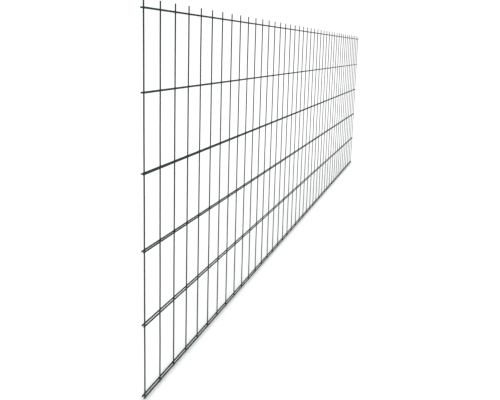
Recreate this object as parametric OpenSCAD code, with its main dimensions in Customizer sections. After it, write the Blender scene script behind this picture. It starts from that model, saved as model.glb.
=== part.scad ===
// Double-wire mesh panel: upright wires held between pairs of lengthwise rods.
// X runs along the panel, Y through its thickness and Z up.
// The origin is on the ground line, midway along and through the panel.
// Every crossing is a weld: the upright beds in a shallow saddle in each of its two rods.

/* [Mesh] */
// Number of upright wires
upright_count = 42; // [3:1:42]
// Distance between the axes of neighbouring uprights
upright_pitch = 50; // [25:5:120]
// Number of rows, each of them a front rod and a rear rod
row_count = 6; // [2:1:9]
// Distance between the axes of neighbouring rows
row_pitch = 200; // [50:10:300]

/* [Wires] */
// Diameter of an upright wire, with its coating
upright_d = 3.8; // [2:0.1:8]
// Diameter of a lengthwise rod, with its coating
rod_d = 4.2; // [2:0.1:10]
// Depth to which an upright is pressed into each rod when the crossing is welded
weld_sink = 0.4; // [0.1:0.05:0.7]

/* [Free ends] */
// Length of an upright above the axis of the top row
tip_above = 22; // [8:1:60]
// Length of an upright below the axis of the bottom row
stub_below = 8; // [6:1:60]
// Length of a rod past the axis of the outermost upright
rod_overhang = 6; // [5:1:40]
// Bevel that the coating leaves round a cut end
end_bevel = 0.3; // [0.1:0.05:0.6]

/* [Looks] */
// Colour of the coated wire
coat_colour = "#2a4a40";

/* [Hidden] */
upright_length = stub_below + (row_count - 1) * row_pitch + tip_above;
rod_length = (upright_count - 1) * upright_pitch + 2 * rod_overhang;
// Distance from the panel's middle plane to a rod's axis
rod_offset = (upright_d + rod_d) / 2 - weld_sink;
// Numbers of facets, for the drawing only
wire_facets = 48;

// A number as two digits, so that the names sort in order
function two_digits(n) = n < 10 ? str("0", n) : str(n);
function upright_name(i) = str("upright_", two_digits(i));
function front_name(k) = str("front_rod_", k);
function rear_name(k) = str("rear_rod_", k);

// Uprights are counted from the left, rows from the ground
function upright_x(i) = (i - (upright_count + 1) / 2) * upright_pitch;
function row_z(k) = stub_below + (k - 1) * row_pitch;

// A straight cut wire standing on Z = 0, bevelled at both ends
module cut_wire(d, length) {
    rotate_extrude($fn = wire_facets)
        polygon([
            [0, 0],
            [d / 2 - end_bevel, 0],
            [d / 2, end_bevel],
            [d / 2, length - end_bevel],
            [d / 2 - end_bevel, length],
            [0, length]
        ]);
}

// One upright wire, whole from its bottom stub to its top tip
module upright(i) {
    color(coat_colour)
        translate([upright_x(i), 0, 0])
            cut_wire(upright_d, upright_length);
}

// The saddles that the uprights press into a rod: the uprights' own round walls
module upright_saddles(z) {
    for (i = [1:upright_count])
        translate([upright_x(i), 0, z - rod_d])
            cylinder(d = upright_d, h = 2 * rod_d, $fn = wire_facets);
}

// One lengthwise rod: side is -1 for the front of the panel and 1 for the rear
module rod(k, side) {
    color(coat_colour)
        difference() {
            translate([-rod_length / 2, side * rod_offset, row_z(k)])
                rotate([0, 90, 0])
                    cut_wire(rod_d, rod_length);
            upright_saddles(row_z(k));
        }
}

for (i = [1:upright_count])
    upright(i);
for (k = [1:row_count]) {
    rod(k, -1);
    rod(k, 1);
}
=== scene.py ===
# %% [markdown]
# # A double-wire mesh panel
# The object is a fence panel made of straight steel wires and nothing else. Upright wires stand
# side by side, and each is welded between a front rod and a rear rod at every row. The whole
# panel is then powder coated in a dark moss green.
#
# The places and sizes of the wires are already settled in the CAD model, which this script
# loads first. Blender's work here is the look: round wires with soft cut ends, the small weld
# at each crossing, the flats that the welding electrodes leave, and the coating itself.

# %% Load the frame
import math
import bpy
from mathutils import Matrix, Vector


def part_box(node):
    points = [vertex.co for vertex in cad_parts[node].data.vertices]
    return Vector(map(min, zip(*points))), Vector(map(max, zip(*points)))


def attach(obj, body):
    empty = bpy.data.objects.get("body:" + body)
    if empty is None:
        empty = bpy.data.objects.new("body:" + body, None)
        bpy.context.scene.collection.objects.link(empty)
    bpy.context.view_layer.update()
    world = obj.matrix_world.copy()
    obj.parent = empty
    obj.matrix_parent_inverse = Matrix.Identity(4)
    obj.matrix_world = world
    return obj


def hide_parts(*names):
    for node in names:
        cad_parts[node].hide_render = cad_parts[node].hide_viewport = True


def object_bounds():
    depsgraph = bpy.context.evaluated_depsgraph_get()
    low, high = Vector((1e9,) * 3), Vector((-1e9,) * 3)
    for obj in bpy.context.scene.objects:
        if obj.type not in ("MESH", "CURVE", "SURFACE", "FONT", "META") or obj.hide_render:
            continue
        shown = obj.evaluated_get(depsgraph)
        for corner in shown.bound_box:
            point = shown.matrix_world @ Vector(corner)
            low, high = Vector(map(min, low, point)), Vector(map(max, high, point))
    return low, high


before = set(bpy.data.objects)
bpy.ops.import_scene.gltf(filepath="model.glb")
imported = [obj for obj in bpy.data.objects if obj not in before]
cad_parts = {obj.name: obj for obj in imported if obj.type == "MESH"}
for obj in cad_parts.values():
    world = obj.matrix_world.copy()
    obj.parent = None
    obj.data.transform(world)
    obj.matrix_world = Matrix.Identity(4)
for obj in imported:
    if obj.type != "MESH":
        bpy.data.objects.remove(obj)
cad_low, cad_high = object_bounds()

scene = bpy.context.scene
print("CAD nodes:", len(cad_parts), "box:", [round(side, 4) for side in cad_high - cad_low])

# %% [markdown]
# ## Read the sizes from the frame
# Every later number that says where something is comes from these few. They are read from the
# boxes of the CAD wires, so that the scene follows the model if the model changes.

# %% Wire sizes and places
MM = 0.001
UPRIGHTS = sorted(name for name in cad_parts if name.startswith("upright_"))
FRONT_RODS = sorted(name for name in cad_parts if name.startswith("front_rod_"))
REAR_RODS = sorted(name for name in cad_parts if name.startswith("rear_rod_"))


def box_middle(node):
    low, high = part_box(node)
    return (Vector(low) + Vector(high)) / 2


def box_size(node):
    low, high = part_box(node)
    return Vector(high) - Vector(low)


upright_length = cad_high.z - cad_low.z
rod_length = cad_high.x - cad_low.x
first_upright = box_middle(UPRIGHTS[0]).x
upright_pitch = (box_middle(UPRIGHTS[-1]).x - first_upright) / (len(UPRIGHTS) - 1)
first_row = box_middle(FRONT_RODS[0]).z
row_pitch = (box_middle(FRONT_RODS[-1]).z - first_row) / (len(FRONT_RODS) - 1)
# A wire's CAD mesh is a prism whose corners lie on the true circle
upright_radius = box_size(UPRIGHTS[0]).x / 2
rod_radius = box_size(FRONT_RODS[0]).z / 2
rod_offset = cad_high.y - rod_radius
upright_thickness = 2 * upright_radius / MM
rod_thickness = 2 * rod_radius / MM
print(f"{len(UPRIGHTS)} uprights, {upright_pitch / MM:.1f} mm apart, {upright_thickness:.2f} mm thick")
print(f"{len(FRONT_RODS)} rows, {row_pitch / MM:.1f} mm apart, rods {rod_thickness:.2f} mm thick")
print(f"rod axes lie {rod_offset / MM:.2f} mm from the middle plane")

# %% [markdown]
# ## The camera
# The panel is seen from close to its left end, from a little below the height of its top, with
# the camera looking along it. The wide lens makes the near cells tall and lets the far ones
# crowd together. The camera looks almost level, and most of the downward view comes from
# shifting the lens, as an architect's camera does: upright wires then stay almost upright in
# the picture.

# %% Place the camera
CAMERA_PAST_END = 0.476
CAMERA_IN_FRONT = 0.600
CAMERA_HEIGHT = 0.923
CAMERA_HEADING = math.radians(32.4)
CAMERA_PITCH = math.radians(-5.2)
CAMERA_ROLL = math.radians(1.6)

camera_data = bpy.data.cameras.new("camera")
camera_data.sensor_width = 36.0
camera_data.lens = 22.1
camera_data.shift_y = -0.25
camera = bpy.data.objects.new("camera", camera_data)
scene.collection.objects.link(camera)
standing = Matrix.Translation((first_upright - CAMERA_PAST_END, -CAMERA_IN_FRONT, CAMERA_HEIGHT))
heading = Matrix.Rotation(CAMERA_HEADING - math.pi / 2, 4, "Z")
tilting = Matrix.Rotation(math.pi / 2 + CAMERA_PITCH, 4, "X")
rolling = Matrix.Rotation(CAMERA_ROLL, 4, "Z")
camera.matrix_world = standing @ heading @ tilting @ rolling
scene.camera = camera
print("camera at", [round(place, 3) for place in camera.location])

# %% [markdown]
# ## Formulas made of nodes
# Geometry Nodes and shader nodes both build a result from small steps, and a formula of five
# terms takes five Math nodes. To keep formulas readable, a Field wraps one node output and
# answers to +, -, * and /. Each sign adds the Math node that it stands for, so that what is
# written as a formula becomes an ordinary node tree that can be opened and read.

# %% The Field helper
class Field:
    """One node output that can be used in a formula."""

    def __init__(self, socket):
        self.socket = socket

    def math(self, operation, *others):
        tree = self.socket.id_data
        node = tree.nodes.new("ShaderNodeMath")
        node.operation = operation
        for place, operand in enumerate((self, *others)):
            feed(node.inputs[place], operand)
        return Field(node.outputs[0])

    def __add__(self, other):
        return self.math("ADD", other)

    def __sub__(self, other):
        return self.math("SUBTRACT", other)

    def __rsub__(self, other):
        return self.math("MULTIPLY", -1.0) + other

    def __mul__(self, other):
        return self.math("MULTIPLY", other)

    def __truediv__(self, other):
        return self.math("DIVIDE", other)

    def __rtruediv__(self, other):
        return self.math("POWER", -1.0) * other

    __radd__ = __add__
    __rmul__ = __mul__

    def limited(self):
        return self.math("MAXIMUM", 0.0).math("MINIMUM", 1.0)


def feed(socket, value):
    """Gives a node input a fixed value, or links a Field to it."""
    if isinstance(value, Field):
        socket.id_data.links.new(value.socket, socket)
    else:
        socket.default_value = value


def add(tree, kind, settings=None, **inputs):
    """Adds a node. Its inputs are fed by name, with _ for a space."""
    node = tree.nodes.new(kind)
    for name, value in (settings or {}).items():
        setattr(node, name, value)
    for name, value in inputs.items():
        feed(node.inputs[name.replace("_", " ")], value)
    return node


def vector(tree, x, y, z):
    return Field(add(tree, "ShaderNodeCombineXYZ", X=x, Y=y, Z=z).outputs[0])


def parts_of(tree, source):
    """The X, Y and Z of a vector, as three Fields."""
    return [Field(out) for out in add(tree, "ShaderNodeSeparateXYZ", Vector=source).outputs]


print("a Field answers to +, -, * and / by adding Math nodes")


# %% [markdown]
# ## Starting a node tree
# A tree is made once with named inputs, and each piece then gets the same tree with its own
# numbers, as a workshop uses one jig for many lengths. The two functions below make an empty
# tree with its inputs, and turn a finished tree into a plain mesh.
#
# The mesh is taken from the evaluated object, and the modifier goes away with the object that
# held it. What is left is an ordinary mesh with its place in its own points.

# %% Trees in, plain meshes out
def new_tree(name, kind, inputs, outputs):
    """An empty node group. inputs and outputs give each socket's name and type."""
    tree = bpy.data.node_groups.new(name, kind)
    for label, socket_type in outputs.items():
        tree.interface.new_socket(label, in_out="OUTPUT", socket_type=socket_type)
    for label, socket_type in inputs.items():
        tree.interface.new_socket(label, in_out="INPUT", socket_type=socket_type)
    entry = tree.nodes.new("NodeGroupInput")
    leaving = tree.nodes.new("NodeGroupOutput")
    given = {label.replace(" ", "_").lower(): Field(entry.outputs[label]) for label in inputs}
    return tree, given, leaving


def grow(name, tree, **values):
    """Runs a geometry tree with these input values, and keeps its result as a mesh piece."""
    jig = bpy.data.objects.new(name + "_jig", bpy.data.meshes.new(name + "_jig"))
    scene.collection.objects.link(jig)
    modifier = jig.modifiers.new("grow", "NODES")
    modifier.node_group = tree
    for item in tree.interface.items_tree:
        label = item.name.replace(" ", "_").lower()
        if item.in_out == "INPUT" and label in values:
            modifier[item.identifier] = values[label]
    mesh = bpy.data.meshes.new_from_object(jig.evaluated_get(bpy.context.evaluated_depsgraph_get()))
    bpy.data.objects.remove(jig)
    # Realized instances bring an empty material slot along
    if mesh.materials[0] is None:
        mesh.materials.pop(index=0)
    mesh.name = name
    piece = bpy.data.objects.new(name, mesh)
    scene.collection.objects.link(piece)
    return piece


# %% [markdown]
# ## Moss-green powder coat: the parts it is made of
# The coat is sprayed on as powder and melted in an oven. It flows a little before it sets, which
# leaves a fine orange-peel skin, a slightly uneven colour, and more coat in the corner of each
# weld than on the open wire. Handling then polishes the outermost faces of the rods, and dust
# settles on what faces up.
#
# Each of those effects is a node group, because every wire uses all of them with its own
# values. They all read Object coordinates, which here are the panel's own metres, so a grain
# of the skin has the same size on every wire.

# %% Helper for noise
def noise(tree, place, scale, detail=2.0, roughness=0.5):
    node = add(tree, "ShaderNodeTexNoise", Vector=place, Scale=scale, Detail=detail)
    feed(node.inputs["Roughness"], roughness)
    return Field(node.outputs["Fac"])


def ramp(tree, value, start, end):
    """0 below start, 1 above end, and a smooth rise between them."""
    settings = {"interpolation_type": "SMOOTHSTEP"}
    node = add(tree, "ShaderNodeMapRange", settings, Value=value, From_Min=start, From_Max=end)
    return Field(node.outputs[0])


def mix_colour(tree, share, first, second):
    node = add(tree, "ShaderNodeMix", {"data_type": "RGBA"})
    feed(node.inputs[0], share)
    feed(node.inputs[6], first)
    feed(node.inputs[7], second)
    return Field(node.outputs[2])


# %% Group: orange peel
RIPPLES_PER_WAVE = 2.7
RIPPLE_SHARE = 0.3


def orange_peel_group():
    """A height for the fine waves and specks that the molten powder freezes into."""
    inputs = {"Place": "NodeSocketVector", "Wave Length": "NodeSocketFloat"}
    outputs = {"Height": "NodeSocketFloat"}
    tree, given, leaving = new_tree("orange_peel", "ShaderNodeTree", inputs, outputs)
    per_metre = 1.0 / given["wave_length"]
    waves = noise(tree, given["place"], per_metre, 1.0)
    ripples = noise(tree, given["place"], per_metre * RIPPLES_PER_WAVE, 2.0)
    feed(leaving.inputs["Height"], waves * (1.0 - RIPPLE_SHARE) + ripples * RIPPLE_SHARE)
    return tree


orange_peel = orange_peel_group()
print("group", orange_peel.name, "with", len(orange_peel.nodes), "nodes")

# %% [markdown]
# ## Where the welds are
# Colour and gloss change near a crossing, and so the material has to know how far it is from
# the nearest one. The crossings lie on a regular grid, which makes this a short formula: divide
# the distance along the panel by the pitch, and what is left over after whole steps says how
# far the nearest upright is. The same goes for the rows.

# %% Group: near a weld
def near_weld_group():
    """1 at a crossing, falling to 0 at Reach from it."""
    inputs = {
        "Place": "NodeSocketVector",
        "First Upright": "NodeSocketFloat",
        "Upright Pitch": "NodeSocketFloat",
        "First Row": "NodeSocketFloat",
        "Row Pitch": "NodeSocketFloat",
        "Reach": "NodeSocketFloat",
    }
    outputs = {"Mask": "NodeSocketFloat"}
    tree, given, leaving = new_tree("near_weld", "ShaderNodeTree", inputs, outputs)
    x, _, z = parts_of(tree, given["place"])

    def away(along, first, pitch):
        steps = (along - first) / pitch
        return (steps - steps.math("ROUND")) * pitch

    to_upright = away(x, given["first_upright"], given["upright_pitch"])
    to_row = away(z, given["first_row"], given["row_pitch"])
    distance = (to_upright * to_upright + to_row * to_row).math("SQRT")
    feed(leaving.inputs["Mask"], 1.0 - ramp(tree, distance / given["reach"], 0.35, 1.0))
    return tree


near_weld = near_weld_group()
print("group", near_weld.name, "with", len(near_weld.nodes), "nodes")

# %% [markdown]
# ## Uneven colour, polish and dust
# No coat is one flat green. The tone drifts over a hand's width where the gun passed more or
# less often, and varies finely with the thickness of the skin. Dust is pale and lies on faces
# that look up. Polish is where stacked panels rub each other: only the outermost strip of a
# rod touches its neighbour, and only in places.

# %% Group: coat tone
# Sizes of the noise patterns, as cells to a metre
BROAD_CELLS = 9.0
MOTTLE_CELLS = 420.0
DUST_CELLS = 160.0
BROAD_SHARE = 0.65


def coat_tone_group():
    """Gives the coat's colour at a place: drift, fine mottle, painted shade at welds, and dust."""
    inputs = {
        "Place": "NodeSocketVector",
        "Normal": "NodeSocketVector",
        "Coat": "NodeSocketColor",
        "Thick Coat": "NodeSocketColor",
        "Dust Colour": "NodeSocketColor",
        "Weld Mask": "NodeSocketFloat",
        "Drift": "NodeSocketFloat",
        "Dust": "NodeSocketFloat",
    }
    outputs = {"Colour": "NodeSocketColor", "Dust Mask": "NodeSocketFloat"}
    tree, given, leaving = new_tree("coat_tone", "ShaderNodeTree", inputs, outputs)
    broad = noise(tree, given["place"], BROAD_CELLS, 2.0)
    fine = noise(tree, given["place"], MOTTLE_CELLS, 3.0, 0.6)
    tone = broad * BROAD_SHARE + fine * (1.0 - BROAD_SHARE)
    brightness = 1.0 + (tone - 0.5) * given["drift"]
    toned = add(tree, "ShaderNodeHueSaturation", Value=brightness, Color=given["coat"])
    # Painted shade: near a weld the colour is mixed towards a dark green, for the shade that falls
    # between the crossed wires
    weld_shaded = mix_colour(tree, given["weld_mask"], Field(toned.outputs[0]), given["thick_coat"])
    _, _, up = parts_of(tree, given["normal"])
    patches = ramp(tree, noise(tree, given["place"], DUST_CELLS, 4.0, 0.7), 0.38, 0.68)
    dust = (ramp(tree, up, 0.35, 0.95) * patches * given["dust"]).limited()
    feed(leaving.inputs["Colour"], mix_colour(tree, dust, weld_shaded, given["dust_colour"]))
    feed(leaving.inputs["Dust Mask"], dust)
    return tree


coat_tone = coat_tone_group()
print("group", coat_tone.name, "with", len(coat_tone.nodes), "nodes")

# %% Group: rubbed faces
# Cells to a metre along X, Y and Z: few along the rod, so that the pattern becomes streaks
STREAK_CELLS = (30.0, 400.0, 400.0)


def rubbed_group():
    """A mask of the strips that stacked panels have polished, on faces that look front or back."""
    inputs = {
        "Place": "NodeSocketVector",
        "Normal": "NodeSocketVector",
        "Amount": "NodeSocketFloat",
    }
    outputs = {"Mask": "NodeSocketFloat"}
    tree, given, leaving = new_tree("rubbed_faces", "ShaderNodeTree", inputs, outputs)
    _, across, _ = parts_of(tree, given["normal"])
    outermost = ramp(tree, across.math("ABSOLUTE"), 0.9, 0.99)
    stretched = add(tree, "ShaderNodeMapping", Vector=given["place"], Scale=STREAK_CELLS)
    streaks = ramp(tree, noise(tree, Field(stretched.outputs[0]), 1.0, 4.0, 0.7), 0.52, 0.7)
    feed(leaving.inputs["Mask"], (outermost * streaks * given["amount"]).limited())
    return tree


rubbed_faces = rubbed_group()
print("group", rubbed_faces.name, "with", len(rubbed_faces.nodes), "nodes")

# %% [markdown]
# ## The coat as a material
# One function puts the four groups together, and each kind of wire calls it with its own
# values. Rods get more rubbing and dust than uprights, because they lie level and outermost.
# The weld is the same paint. It lies thicker there, which makes it glossier, and its colour is
# darkened there as painted shade for the corner between the wires.
#
# The shader itself is plain: a dielectric with no metal in it, because the steel is covered.

# %% Colours and the coat function
MOSS = (0.0120, 0.0340, 0.0260, 1.0)
# Painted shade: the dark green that the coat is mixed towards near each crossing, for the shade in the
# corner between the wires
MOSS_WELD_SHADE = (0.0070, 0.0180, 0.0140, 1.0)
PALE_DUST = (0.2300, 0.2450, 0.2200, 1.0)
PEEL_LENGTH = 1.1 * MM
PEEL_DEPTH = 0.05 * MM
WELD_REACH = 6.5 * MM
PLAIN_ROUGHNESS = 0.42
DUST_ROUGHENS = 0.4
RUBBING_SMOOTHS = 0.16
POOLING_SMOOTHS = 0.1


def grouped(tree, group, **inputs):
    node = add(tree, "ShaderNodeGroup", {"node_tree": group})
    for name, value in inputs.items():
        feed(node.inputs[name.replace("_", " ").title()], value)
    return node


def powder_coat(name, drift, dust, rub, weld_shade_and_gloss):
    material = bpy.data.materials.new(name)
    material.use_nodes = True
    tree = material.node_tree
    shader = tree.nodes["Principled BSDF"]
    place = Field(add(tree, "ShaderNodeTexCoord").outputs["Object"])
    normal = Field(add(tree, "ShaderNodeNewGeometry").outputs["Normal"])
    weld = grouped(
        tree,
        near_weld,
        place=place,
        first_upright=first_upright,
        upright_pitch=upright_pitch,
        first_row=first_row,
        row_pitch=row_pitch,
        reach=WELD_REACH,
    )
    # This mask darkens the colour near a weld as painted shade, and it also makes the coat there
    # glossier
    weld_mask = Field(weld.outputs["Mask"]) * weld_shade_and_gloss
    tone = grouped(
        tree,
        coat_tone,
        place=place,
        normal=normal,
        coat=MOSS,
        thick_coat=MOSS_WELD_SHADE,
        dust_colour=PALE_DUST,
        weld_mask=weld_mask,
        drift=drift,
        dust=dust,
    )
    dust_mask = Field(tone.outputs["Dust Mask"])
    rubbed = grouped(tree, rubbed_faces, place=place, normal=normal, amount=rub)
    rub_mask = Field(rubbed.outputs["Mask"])
    peel = Field(grouped(tree, orange_peel, place=place, wave_length=PEEL_LENGTH).outputs["Height"])
    bump = add(tree, "ShaderNodeBump", Strength=1.0, Distance=PEEL_DEPTH, Height=peel)
    roughened = PLAIN_ROUGHNESS + dust_mask * DUST_ROUGHENS
    smoothed = rub_mask * RUBBING_SMOOTHS + weld_mask * POOLING_SMOOTHS
    feed(shader.inputs["Base Color"], Field(tone.outputs["Colour"]))
    feed(shader.inputs["Roughness"], roughened - smoothed)
    feed(shader.inputs["Normal"], Field(bump.outputs["Normal"]))
    shader.inputs["Metallic"].default_value = 0.0
    shader.inputs["IOR"].default_value = 1.5
    shader.inputs["Specular IOR Level"].default_value = 0.2
    return material


upright_coat = powder_coat("moss_green_upright_coat", drift=0.45, dust=0.1, rub=0.0, weld_shade_and_gloss=0.7)
rod_coat = powder_coat("moss_green_rod_coat", drift=0.45, dust=0.28, rub=0.6, weld_shade_and_gloss=0.6)
weld_coat = powder_coat("moss_green_weld_coat", drift=0.3, dust=0.1, rub=0.0, weld_shade_and_gloss=0.9)
print("coats:", [coat.name for coat in (upright_coat, rod_coat, weld_coat)])

# %% [markdown]
# ## A cut wire with a soft end
# A wire is drawn round, cut to length by a shear, and coated. The shear leaves the end slightly
# out of square, and the molten coat rounds its rim. A cylinder can't show that, so the wire
# is grown along a line of rings. The first few rings follow a quarter circle, which makes the
# rim, and the rest run straight to the same rim at the other end.
#
# A ring's number says where it goes. Counting from the nearer end, the rings up to RIM_RINGS
# turn the quarter circle, and after that the wire keeps its full radius.

# %% Rings of a wire
RIM_RINGS = 5
RIM = 0.5 * MM
print(RIM_RINGS, "ring steps turn each rim of", RIM / MM, "mm")


def end_rims(ring, last_ring, rim):
    """Distance gained in the starting rim and in the ending rim, and how far the radius shrinks."""
    quarter = math.pi / 2
    leaving_start = (ring / RIM_RINGS).limited() * quarter
    nearing_end = ((last_ring - ring) / RIM_RINGS).limited() * quarter
    start_gain = (1.0 - leaving_start.math("COSINE")) * rim
    end_gain = nearing_end.math("COSINE") * rim
    shrink = (1.0 - leaving_start.math("MINIMUM", nearing_end).math("SINE")) * rim
    return start_gain, end_gain, shrink


def round_skin(tree, rings, sides, along, radius):
    """A closed round skin: ring number to height along +Z and to radius, with the ends filled."""
    line = add(tree, "GeometryNodeCurvePrimitiveLine", End=(0.0, 0.0, 1.0))
    ringed = add(tree, "GeometryNodeResampleCurve", Curve=Field(line.outputs[0]), Count=rings)
    placed = add(
        tree,
        "GeometryNodeSetPosition",
        Geometry=Field(ringed.outputs[0]),
        Position=vector(tree, 0.0, 0.0, along),
    )
    circle = add(tree, "GeometryNodeCurvePrimitiveCircle", Resolution=sides, Radius=1.0)
    skin = add(
        tree,
        "GeometryNodeCurveToMesh",
        Curve=Field(placed.outputs[0]),
        Profile_Curve=Field(circle.outputs[0]),
        Scale=radius,
        Fill_Caps=True,
    )
    return Field(skin.outputs[0])


# %% [markdown]
# ## Out-of-square ends
# The shear comes from one side and leaves the end a few degrees off. The rings near each end
# are slid along the wire, more on one side than on the other. The slide is never outwards, so
# the highest point of the end stays at the wire's true length.

# %% Slope the cut ends
CUT_SLOPE = 0.09
SLOPE_REACH = 3.0 * MM
print(f"an end is {math.degrees(math.atan(CUT_SLOPE)):.1f} degrees out of square")


def sheared(tree, skin, length, radius, seed):
    """Slides the points near both ends so that each end lies out of square by its own angle."""
    x, y, z = parts_of(tree, Field(add(tree, "GeometryNodeInputPosition").outputs[0]))
    slide = None
    for which, distance, way in ((1, z, 1.0), (2, length - z, -1.0)):
        turn = add(tree, "FunctionNodeRandomValue", Seed=seed)
        feed(turn.inputs["ID"], which)
        feed(turn.inputs[3], 2 * math.pi)
        angle = Field(turn.outputs[1])
        across = x * angle.math("COSINE") + y * angle.math("SINE")
        near_end = 1.0 - ramp(tree, distance, RIM, SLOPE_REACH)
        part = (across + radius) * near_end * (CUT_SLOPE * way)
        slide = part if slide is None else slide + part
    node = add(tree, "GeometryNodeSetPosition", Geometry=skin, Offset=vector(tree, 0.0, 0.0, slide))
    return Field(node.outputs[0])


# %% [markdown]
# ## Finishing every wire the same way
# A tree grows its wire from the origin along +Z. The last nodes shade it smooth, lay it in its
# place, make any instances real, and give it its material. An upright only has to be moved.
# A rod is also turned a quarter about Y, which keeps its front at the front.
#
# The cut end is the one flat face of a wire, and smooth shading would make it look domed. It is
# also the only face with more than four corners, and that is how the tree finds it and keeps
# its shading flat.

# %% The closing nodes
def close_tree(tree, leaving, skin, place, turn, coat):
    corners = Field(add(tree, "GeometryNodeCornersOfFace").outputs["Total"])
    round_side = corners.math("LESS_THAN", 5.0)
    smooth = add(tree, "GeometryNodeSetShadeSmooth", Geometry=skin, Shade_Smooth=round_side)
    laid = add(
        tree,
        "GeometryNodeTransform",
        Geometry=Field(smooth.outputs[0]),
        Translation=place,
        Rotation=turn,
    )
    real = add(tree, "GeometryNodeRealizeInstances", Geometry=Field(laid.outputs[0]))
    coated = add(tree, "GeometryNodeSetMaterial", Geometry=Field(real.outputs[0]), Material=coat)
    feed(leaving.inputs["Geometry"], Field(coated.outputs[0]))


# %% [markdown]
# ## The upright wires
# An upright is held at six rows and is free between them. Welding heat always leaves a wire a
# few tenths of a millimetre out of straight between two welds, and exactly in place at them.
# A squared sine does that: it is zero at both welds and greatest midway. Each span bows its
# own way, chosen by a random vector with a fixed seed.

# %% Tree: upright wire
WIRE_INPUTS = {
    "Length": "NodeSocketFloat",
    "Radius": "NodeSocketFloat",
    "First Crossing": "NodeSocketFloat",
    "Pitch": "NodeSocketFloat",
    "Crossings": "NodeSocketInt",
    "Place": "NodeSocketVector",
    "Seed": "NodeSocketInt",
    "Coat": "NodeSocketMaterial",
}
UPRIGHT_SIDES = 24
UPRIGHT_RINGS = 64
BOW = 0.25 * MM


def bowed(tree, skin, given):
    """Bends each span between two crossings a little to one side."""
    _, _, z = parts_of(tree, Field(add(tree, "GeometryNodeInputPosition").outputs[0]))
    steps = (z - given["first_crossing"]) / given["pitch"]
    span = steps.math("FLOOR")
    swing = (steps * math.pi).math("SINE")
    held = (span + 1.0).limited() * (given["crossings"] - 1.0 - span).limited()
    pick = add(tree, "FunctionNodeRandomValue", {"data_type": "FLOAT_VECTOR"}, Seed=given["seed"])
    feed(pick.inputs["ID"], span)
    feed(pick.inputs[0], (-BOW, -BOW, 0.0))
    feed(pick.inputs[1], (BOW, BOW, 0.0))
    bow = add(tree, "ShaderNodeVectorMath", {"operation": "SCALE"}, Scale=swing * swing * held)
    feed(bow.inputs[0], Field(pick.outputs[0]))
    node = add(tree, "GeometryNodeSetPosition", Geometry=skin, Offset=Field(bow.outputs[0]))
    return Field(node.outputs[0])


def upright_tree():
    outputs = {"Geometry": "NodeSocketGeometry"}
    tree, given, leaving = new_tree("upright_wire", "GeometryNodeTree", WIRE_INPUTS, outputs)
    ring = Field(add(tree, "GeometryNodeInputIndex").outputs[0])
    last_ring = UPRIGHT_RINGS - 1
    start_gain, end_gain, shrink = end_rims(ring, last_ring, RIM)
    share = ((ring - RIM_RINGS) / (last_ring - 2 * RIM_RINGS)).limited()
    along = start_gain + share * (given["length"] - 2 * RIM) + end_gain
    skin = round_skin(tree, UPRIGHT_RINGS, UPRIGHT_SIDES, along, given["radius"] - shrink)
    skin = sheared(tree, skin, given["length"], given["radius"], given["seed"])
    skin = bowed(tree, skin, given)
    close_tree(tree, leaving, skin, given["place"], (0.0, 0.0, 0.0), given["coat"])
    return tree


upright_wire = upright_tree()
print("tree", upright_wire.name, "with", len(upright_wire.nodes), "nodes")

# %% Grow the uprights
upright_pieces = []
for number, node in enumerate(UPRIGHTS):
    piece = grow(
        "wire_" + node,
        upright_wire,
        length=upright_length,
        radius=upright_radius,
        first_crossing=first_row - cad_low.z,
        pitch=row_pitch,
        crossings=len(FRONT_RODS),
        place=(box_middle(node).x, 0.0, cad_low.z),
        seed=number,
        coat=upright_coat,
    )
    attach(piece, "root")
    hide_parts(node)
    upright_pieces.append(piece)
print(len(upright_pieces), "uprights of", len(upright_pieces[0].data.polygons), "faces each")

# %% [markdown]
# ## The lengthwise rods
# A rod is welded to every upright at once between two copper electrodes. They press on its
# outer side and leave a small flat there, opposite each weld. The flat is a few millimetres
# long, so an even spacing of rings would need thousands of them. The rings are gathered at the
# crossings instead: RINGS_PER_WELD of them within PRESS_LENGTH, and none on the plain wire
# between, which is straight anyway.
#
# To cut the flat, a point that lies further out than the electrode's face is put back on that
# face. The face is deepest at the crossing and runs out to nothing at both ends of the press.

# %% Tree: lengthwise rod
ROD_SIDES = 32
RINGS_PER_WELD = 9
PRESS_LENGTH = 9.0 * MM
PRESS_DEPTH = 0.16 * MM
ROD_RINGS = 2 * RIM_RINGS + RINGS_PER_WELD * len(UPRIGHTS)


def pressed(tree, skin, given):
    """Flattens the outer side of a rod at each crossing. Side is -1 for a front rod."""
    x, y, z = parts_of(tree, Field(add(tree, "GeometryNodeInputPosition").outputs[0]))
    steps = (z - given["first_crossing"]) / given["pitch"]
    from_crossing = (steps - steps.math("ROUND")) * given["pitch"]
    share = (from_crossing / (PRESS_LENGTH / 2)).math("ABSOLUTE")
    depth = (1.0 - ramp(tree, share, 0.3, 1.0)) * PRESS_DEPTH
    outwards = y * given["side"]
    flattened = outwards.math("MINIMUM", given["radius"] - depth) * given["side"]
    place = vector(tree, x, flattened, z)
    return Field(add(tree, "GeometryNodeSetPosition", Geometry=skin, Position=place).outputs[0])


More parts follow.
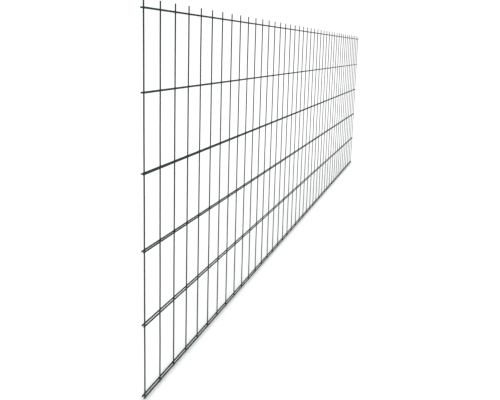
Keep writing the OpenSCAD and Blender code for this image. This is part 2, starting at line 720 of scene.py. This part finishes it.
def rod_tree():
    inputs = {**WIRE_INPUTS, "Side": "NodeSocketFloat"}
    outputs = {"Geometry": "NodeSocketGeometry"}
    tree, given, leaving = new_tree("lengthwise_rod", "GeometryNodeTree", inputs, outputs)
    ring = Field(add(tree, "GeometryNodeInputIndex").outputs[0])
    start_gain, end_gain, shrink = end_rims(ring, ROD_RINGS - 1, RIM)
    body_ring = (ring - RIM_RINGS).math("MAXIMUM", 0.0).math("MINIMUM", ROD_RINGS - 2 * RIM_RINGS - 1)
    crossing = (body_ring / RINGS_PER_WELD).math("FLOOR")
    within = (body_ring - crossing * RINGS_PER_WELD) / (RINGS_PER_WELD - 1) - 0.5
    at_crossing = given["first_crossing"] + crossing * given["pitch"] + within * PRESS_LENGTH
    before = 1.0 - (ring - RIM_RINGS + 1.0).limited()
    after = (ring - (ROD_RINGS - RIM_RINGS) + 1.0).limited()
    inside = 1.0 - before - after
    along = before * start_gain + inside * at_crossing + after * (given["length"] - RIM + end_gain)
    skin = round_skin(tree, ROD_RINGS, ROD_SIDES, along, given["radius"] - shrink)
    skin = sheared(tree, skin, given["length"], given["radius"], given["seed"])
    skin = pressed(tree, skin, given)
    close_tree(tree, leaving, skin, given["place"], (0.0, math.pi / 2, 0.0), given["coat"])
    return tree


lengthwise_rod = rod_tree()
print("tree", lengthwise_rod.name, "with", len(lengthwise_rod.nodes), "nodes and", ROD_RINGS, "rings")

# %% Grow the rods
rod_pieces = []
for side, names in ((-1.0, FRONT_RODS), (1.0, REAR_RODS)):
    for row, node in enumerate(names):
        piece = grow(
            "wire_" + node,
            lengthwise_rod,
            length=rod_length,
            radius=rod_radius,
            first_crossing=first_upright - cad_low.x,
            pitch=upright_pitch,
            crossings=len(UPRIGHTS),
            place=(cad_low.x, side * rod_offset, first_row + row * row_pitch),
            seed=100 + 10 * row + int(side),
            coat=rod_coat,
            side=side,
        )
        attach(piece, "root")
        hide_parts(node)
        rod_pieces.append(piece)
print(len(rod_pieces), "rods of", len(rod_pieces[0].data.polygons), "faces each")

# %% [markdown]
# ## The welds
# Two crossed round wires touch only at a point. Current and pressure melt them together there
# until each has sunk a little into the other, and a lip of steel is squeezed out round the
# joint. The coat then flows into that corner and fills it. What shows is a soft collar that
# lies on the upright with one edge and on the rod with the other.
#
# The collar is grown as a thin ring with four points to its section. One point lies on the
# upright, one on the rod, one outside between them and one hidden inside. All four follow from
# the angle round the joint, because both wires are cylinders of known size: at the distance x
# from an upright's axis, its surface is at the square root of radius squared less x squared.
# With 504 of them, a collar has to stay as simple as that.

# %% Helpers for the collars
def captured(tree, geometry, value, data_type="FLOAT"):
    """Stores a value on the geometry's points, so that later nodes can still read it."""
    node = add(tree, "GeometryNodeCaptureAttribute")
    node.capture_items.new(data_type, "Value")
    feed(node.inputs["Geometry"], geometry)
    feed(node.inputs[1], value)
    return Field(node.outputs[0]), Field(node.outputs[1])


def between(first, second, share):
    return first + (second - first) * share


# %% [markdown]
# ## A ring at every crossing
# A flat grid with one point for each crossing carries the rings as instances. Each ring has to
# remember four things after it becomes plain mesh: the angle round the joint, the angle round
# its own section, where its crossing is, and the luck that makes no two welds alike. Capture
# Attribute writes each of them on the points before they are copied.

# %% Rings at the crossings
COLLAR_SEGMENTS = 16
COLLAR_SECTION = 4


def crossing_rings(tree, given):
    """The rings as real mesh, with their two angles from 0 to 1, their place and their luck."""
    factor = Field(add(tree, "GeometryNodeSplineParameter").outputs["Factor"])
    main = add(tree, "GeometryNodeCurvePrimitiveCircle", Resolution=COLLAR_SEGMENTS, Radius=1.0)
    main, turn = captured(tree, Field(main.outputs[0]), factor)
    section = add(tree, "GeometryNodeCurvePrimitiveCircle", Resolution=COLLAR_SECTION, Radius=0.1)
    section, roll = captured(tree, Field(section.outputs[0]), factor)
    ring = add(tree, "GeometryNodeCurveToMesh", Curve=main, Profile_Curve=section)
    grid = add(
        tree,
        "GeometryNodeMeshGrid",
        Size_X=(given["uprights"] - 1.0) * given["upright_pitch"],
        Size_Y=(given["rows"] - 1.0) * given["row_pitch"],
        Vertices_X=given["uprights"],
        Vertices_Y=given["rows"],
    )
    position = Field(add(tree, "GeometryNodeInputPosition").outputs[0])
    points, place = captured(tree, Field(grid.outputs[0]), position, "VECTOR")
    pick = add(tree, "FunctionNodeRandomValue", {"data_type": "FLOAT_VECTOR"}, Seed=given["seed"])
    feed(pick.inputs[0], (-1.0, -1.0, 0.0))
    points, luck = captured(tree, points, Field(pick.outputs[0]), "VECTOR")
    rings = add(tree, "GeometryNodeInstanceOnPoints", Points=points, Instance=Field(ring.outputs[0]))
    real = add(tree, "GeometryNodeRealizeInstances", Geometry=Field(rings.outputs[0]))
    return Field(real.outputs[0]), turn, roll, place, luck


print("a collar has", COLLAR_SEGMENTS * COLLAR_SECTION, "faces")

# %% [markdown]
# ## The shape of one collar
# The collar's first edge lies on the upright and its second on the rod. Both edges hold a
# little short of the wire's full half-width across it, and reach out further along it, as the
# squeezed-out steel does. EDGE_SINK puts the edges just under both surfaces, so that no gap
# shows. Round its section, the outer point is drawn in a little, which makes the corner hollow
# as a fillet is, and the inner point is drawn in much more, where it can't be seen.

# %% Points of a collar
COLLAR_SPREAD = 0.14
EDGE_SINK = 0.03 * MM
# Half-widths of the two edges, as shares of the wire's own radius
UPRIGHT_HOLD = 0.9
UPRIGHT_REACH = 1.62
ROD_HOLD = 0.88
ROD_REACH = 1.5
# How far the section's outer and inner points are drawn in towards the crossing
OUTER_DRAWN_IN = 0.06
INNER_DRAWN_IN = 0.44


def collar_points(given, turn, roll, luck):
    """X, Y and Z of a collar's points, measured from its own crossing."""
    angle = turn * (2 * math.pi)
    cosine, sine = angle.math("COSINE"), angle.math("SINE")
    lopsided_x, lopsided_z, _ = parts_of(turn.socket.id_data, luck)
    reach = 1.0 + (lopsided_x * cosine + lopsided_z * sine) * COLLAR_SPREAD
    ru, rr, offset = given["upright_radius"], given["rod_radius"], given["rod_offset"]
    upright_x, upright_z = cosine * (ru * UPRIGHT_HOLD), sine * reach * (ru * UPRIGHT_REACH)
    rod_x, rod_z = cosine * reach * (rr * ROD_REACH), sine * (rr * ROD_HOLD)
    upright_y = (ru * ru - upright_x * upright_x).math("SQRT") - EDGE_SINK
    rod_y = offset - (rr * rr - rod_z * rod_z).math("SQRT") + EDGE_SINK

    # Round the section: from the upright, over the outside, to the rod, and back inside
    to_rod = 0.5 - (roll * (2 * math.pi)).math("COSINE") * 0.5
    outside = (roll * (2 * math.pi)).math("SINE")
    mean = (INNER_DRAWN_IN + OUTER_DRAWN_IN) / 2
    lean = (INNER_DRAWN_IN - OUTER_DRAWN_IN) / 2
    inwards = 1.0 - outside.math("ABSOLUTE") * mean + outside * lean
    x = between(upright_x, rod_x, to_rod) * inwards
    y = between(upright_y, rod_y, to_rod) * given["side"]
    z = between(upright_z, rod_z, to_rod) * inwards
    return x, y, z


# %% [markdown]
# ## All the collars of one side
# The tree puts the two helpers together: rings at the crossings, and then every point moved to
# its place. One tree serves both sides of the panel. Side is -1 for the front and 1 for the
# rear, and it mirrors the collars in the panel's middle plane.

# %% Tree: weld collars of one side
def collar_tree():
    inputs = {
        "Upright Radius": "NodeSocketFloat",
        "Rod Radius": "NodeSocketFloat",
        "Rod Offset": "NodeSocketFloat",
        "Uprights": "NodeSocketInt",
        "Rows": "NodeSocketInt",
        "Upright Pitch": "NodeSocketFloat",
        "Row Pitch": "NodeSocketFloat",
        "Middle": "NodeSocketVector",
        "Side": "NodeSocketFloat",
        "Seed": "NodeSocketInt",
        "Coat": "NodeSocketMaterial",
    }
    outputs = {"Geometry": "NodeSocketGeometry"}
    tree, given, leaving = new_tree("weld_collars", "GeometryNodeTree", inputs, outputs)
    rings, turn, roll, place, luck = crossing_rings(tree, given)
    x, y, z = collar_points(given, turn, roll, luck)
    grid_x, grid_y, _ = parts_of(tree, place)
    final = vector(tree, x + grid_x, y, z + grid_y)
    shaped = add(tree, "GeometryNodeSetPosition", Geometry=rings, Position=final)

    # The front collars are mirror images, and mirroring turns a mesh inside out
    mirrored = given["side"].math("LESS_THAN", 0.0)
    turned = add(tree, "GeometryNodeFlipFaces", Mesh=Field(shaped.outputs[0]), Selection=mirrored)
    skin = Field(turned.outputs[0])
    close_tree(tree, leaving, skin, given["middle"], (0.0, 0.0, 0.0), given["coat"])
    return tree


weld_collars = collar_tree()
print("tree", weld_collars.name, "with", len(weld_collars.nodes), "nodes")

# %% Grow the weld collars
for name, side in (("front_weld_collars", -1.0), ("rear_weld_collars", 1.0)):
    collars = grow(
        name,
        weld_collars,
        upright_radius=upright_radius,
        rod_radius=rod_radius,
        rod_offset=rod_offset,
        uprights=len(UPRIGHTS),
        rows=len(FRONT_RODS),
        upright_pitch=upright_pitch,
        row_pitch=row_pitch,
        middle=(0.0, 0.0, first_row + (len(FRONT_RODS) - 1) * row_pitch / 2),
        side=side,
        seed=7 + int(side),
        coat=weld_coat,
    )
    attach(collars, "root")
    print(name, "has", len(collars.data.polygons), "faces")

# %% [markdown]
# ## Floor and light
# The panel stands on a plain pale floor in a white room. Thin dark wires read best against an
# even ground, so both the floor and the room behind the panel are bright enough to come out
# pure white, and no horizon shows between them.
#
# A room that is that bright to look at would also wash out the dark coat. The Is Camera Ray
# output keeps the two apart: the background that is seen gets BACKDROP, and the light that the
# room gives off gets the weaker ROOM_LIGHT. The broad lamp does the rest. It hangs high, a
# little to the left and in front, and is so wide that wires this thin cast only a faint, soft
# shadow.

# %% Floor
FLOOR_SIDE = 40.0
FLOOR_WHITE = 0.9
floor_mesh = bpy.data.meshes.new("floor")
edge = FLOOR_SIDE / 2
corners = [(-edge, -edge, 0.0), (edge, -edge, 0.0), (edge, edge, 0.0), (-edge, edge, 0.0)]
floor_mesh.from_pydata(corners, [], [(0, 1, 2, 3)])
floor = bpy.data.objects.new("floor", floor_mesh)
scene.collection.objects.link(floor)
floor_paint = bpy.data.materials.new("pale_floor")
floor_paint.use_nodes = True
floor_shader = floor_paint.node_tree.nodes["Principled BSDF"]
floor_shader.inputs["Base Color"].default_value = (FLOOR_WHITE, FLOOR_WHITE, FLOOR_WHITE, 1.0)
floor_shader.inputs["Roughness"].default_value = 0.9
floor_shader.inputs["Specular IOR Level"].default_value = 0.0
floor_mesh.materials.append(floor_paint)
print("floor", FLOOR_SIDE, "m square")

# %% World and lamp
BACKDROP = 1.1
ROOM_LIGHT = 0.35
LAMP_STRENGTH = 3.0
LAMP_WIDTH = math.radians(120.0)
LAMP_FROM = Vector((-0.5, -0.3, 1.6))

scene.view_settings.view_transform = "Standard"
world = bpy.data.worlds.new("white_room")
scene.world = world
world.use_nodes = True
background = world.node_tree.nodes["Background"]
background.inputs["Color"].default_value = (1.0, 1.0, 1.0, 1.0)
seen = Field(add(world.node_tree, "ShaderNodeLightPath").outputs["Is Camera Ray"])
feed(background.inputs["Strength"], ROOM_LIGHT + seen * (BACKDROP - ROOM_LIGHT))

lamp_data = bpy.data.lights.new("broad_lamp", "SUN")
lamp_data.energy = LAMP_STRENGTH
lamp_data.angle = LAMP_WIDTH
lamp = bpy.data.objects.new("broad_lamp", lamp_data)
lamp.rotation_euler = (-LAMP_FROM).to_track_quat("-Z", "Y").to_euler()
scene.collection.objects.link(lamp)
